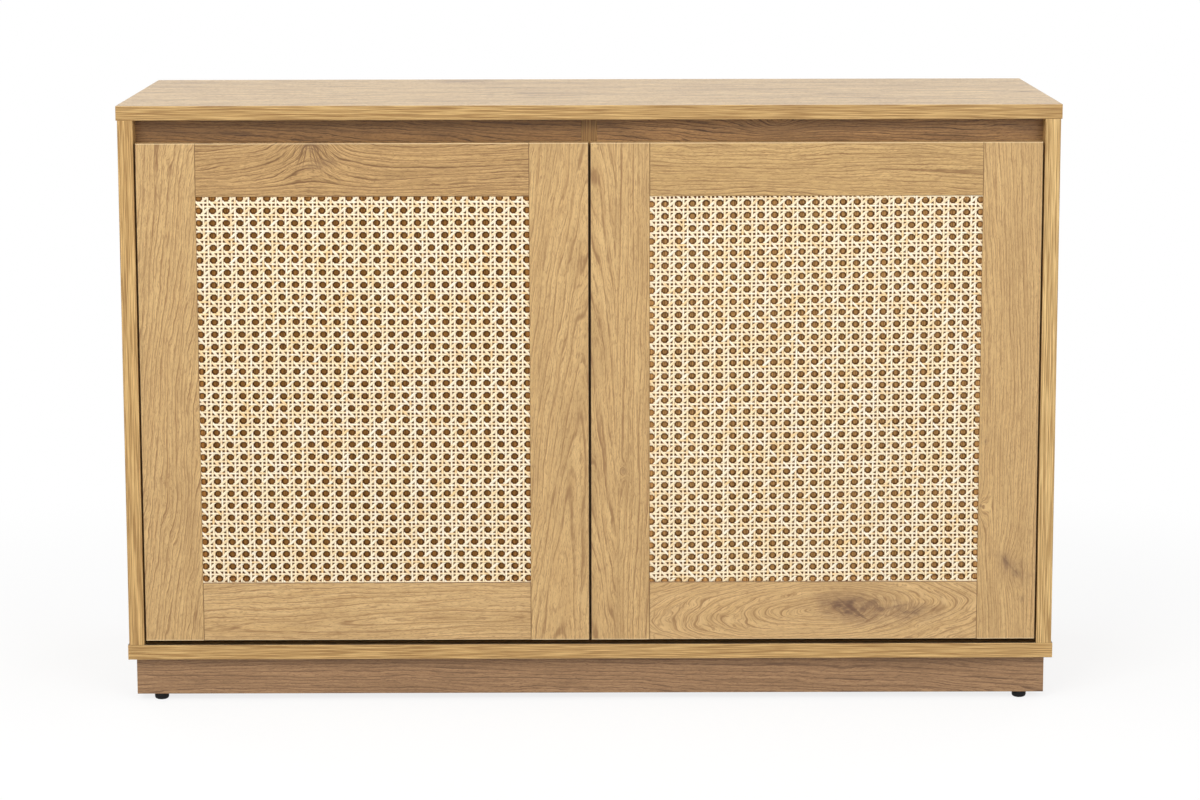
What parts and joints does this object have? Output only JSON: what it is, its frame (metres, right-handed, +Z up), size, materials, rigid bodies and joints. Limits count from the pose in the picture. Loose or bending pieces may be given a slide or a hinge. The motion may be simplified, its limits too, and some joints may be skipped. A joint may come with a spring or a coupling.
{
  "type": "sideboard",
  "caption": "Low oak-effect sideboard with a pair of inset framed doors in woven cane over a backing panel, a finger gap above the doors and a set-back plinth on glides.",
  "frame": {"origin": "centre of the bounding box at the floor, under the glides", "axes": "+Z up, +X to the right seen from the front, the doors face -Y"},
  "size_m": [1.103, 0.4, 0.714],
  "materials": {
    "oak_laminate": "oak-effect laminate, matt, fine printed grain",
    "oak_door_frame": "oak-effect laminate, matt, knots and cathedral grain",
    "oak_backing": "oak-effect laminate, matt",
    "cane": "natural cane webbing, satin",
    "back_board": "thin lacquered fibreboard",
    "beech": "plain beech",
    "black_plastic": "moulded, satin",
    "white_plastic": "moulded, matt",
    "felt": "pressed felt",
    "nickel_steel": "nickel-plated pressed steel",
    "zinc": "zinc-plated"
  },
  "bodies": {
    "carcass": {"top_panel": "oak_laminate", "left_side_panel": "oak_laminate", "right_side_panel": "oak_laminate", "bottom_panel": "oak_laminate", "centre_divider": "oak_laminate", "left_top_rail": "oak_laminate", "right_top_rail": "oak_laminate", "left_back_panel": "back_board", "right_back_panel": "back_board", "back_joining_strip": "white_plastic", "plinth_front": "oak_laminate", "plinth_back": "oak_laminate", "plinth_left_end": "oak_laminate", "plinth_right_end": "oak_laminate", "plinth_centre_brace": "oak_laminate", "plinth_corner_blocks": "beech", "plinth_block_screws": "zinc", "glide_feet": "black_plastic", "left_shelf": "oak_laminate", "right_shelf": "oak_laminate", "shelf_pins": "zinc", "cam_locks": "zinc", "cam_bolts": "nickel_steel", "wooden_dowels": "beech", "back_panel_nails": "nickel_steel", "hinge_mounting_plates": "nickel_steel", "hinge_arms": "nickel_steel", "hinge_plate_screws": "zinc", "hinge_arm_screws": "zinc", "magnetic_catches": "white_plastic", "catch_screws": "zinc", "door_bumpers": "felt"},
    "left_door": {"left_door_hinge_stile": "oak_door_frame", "left_door_lock_stile": "oak_door_frame", "left_door_top_rail": "oak_door_frame", "left_door_bottom_rail": "oak_door_frame", "left_cane_webbing": "cane", "left_cane_spacer": "oak_backing", "left_door_backing_panel": "oak_backing", "left_door_dowels": "beech", "left_hinge_cups": "nickel_steel", "left_hinge_pins": "nickel_steel", "left_cup_screws": "zinc", "left_catch_plate": "nickel_steel", "left_catch_plate_screw": "zinc"},
    "right_door": {"right_door_hinge_stile": "oak_door_frame", "right_door_lock_stile": "oak_door_frame", "right_door_top_rail": "oak_door_frame", "right_door_bottom_rail": "oak_door_frame", "right_cane_webbing": "cane", "right_cane_spacer": "oak_backing", "right_door_backing_panel": "oak_backing", "right_door_dowels": "beech", "right_hinge_cups": "nickel_steel", "right_hinge_pins": "nickel_steel", "right_cup_screws": "zinc", "right_catch_plate": "nickel_steel", "right_catch_plate_screw": "zinc"}
  },
  "joints": [
    {"name": "left_door_hinge", "type": "hinge", "parent": "carcass", "child": "left_door", "pos_m": [-0.5194, -0.1938, 0.3735], "axis": [0, 0, -1], "range_deg": [0, 95]},
    {"name": "right_door_hinge", "type": "hinge", "parent": "carcass", "child": "right_door", "pos_m": [0.5194, -0.1938, 0.3735], "axis": [0, 0, 1], "range_deg": [0, 95]}
  ]
}
